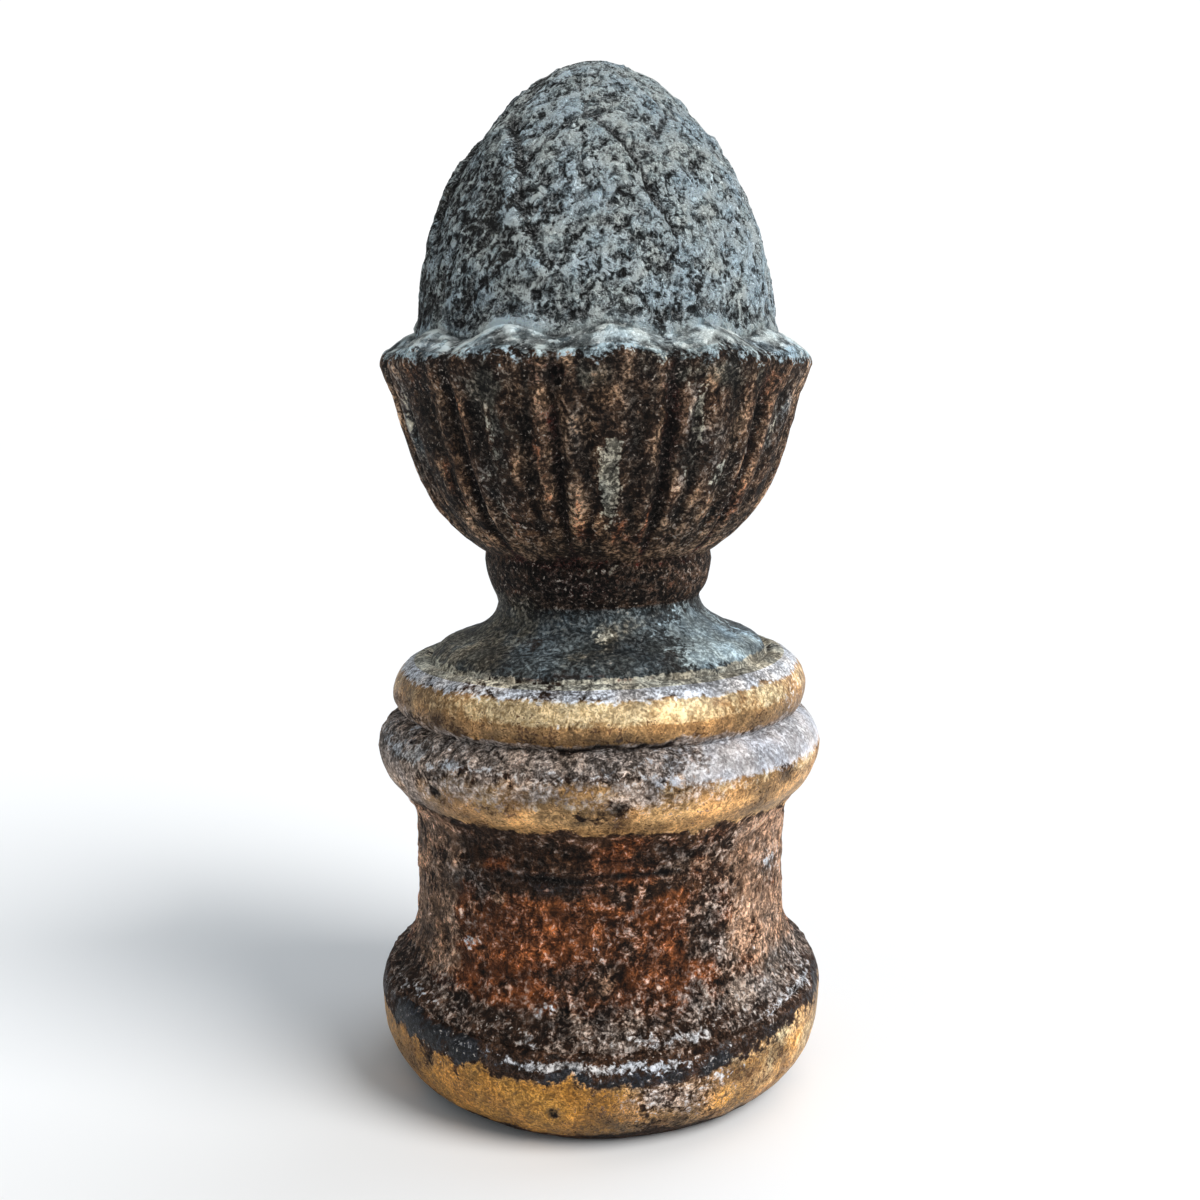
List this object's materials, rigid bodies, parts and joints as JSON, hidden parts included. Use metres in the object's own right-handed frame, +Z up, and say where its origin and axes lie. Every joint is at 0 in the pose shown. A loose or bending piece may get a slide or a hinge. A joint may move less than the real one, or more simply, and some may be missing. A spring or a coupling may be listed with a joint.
{
  "type": "acorn finial",
  "caption": "Finial with a petalled nut in a scalloped cup, on a narrow neck and a wide round moulded base, for the top of a post, pier or newel.",
  "frame": {"origin": "middle of the flat underside, on the axis of the mouldings", "axes": "+Z up along the axis, and -Y towards the side that the picture shows"},
  "size_m": [0.1268, 0.1268, 0.281],
  "materials": {
    "painted_iron": "old coats of paint and gold, chipped and crusted"
  },
  "bodies": {
    "root": {"acorn_finial": "painted_iron"}
  },
  "joints": []
}
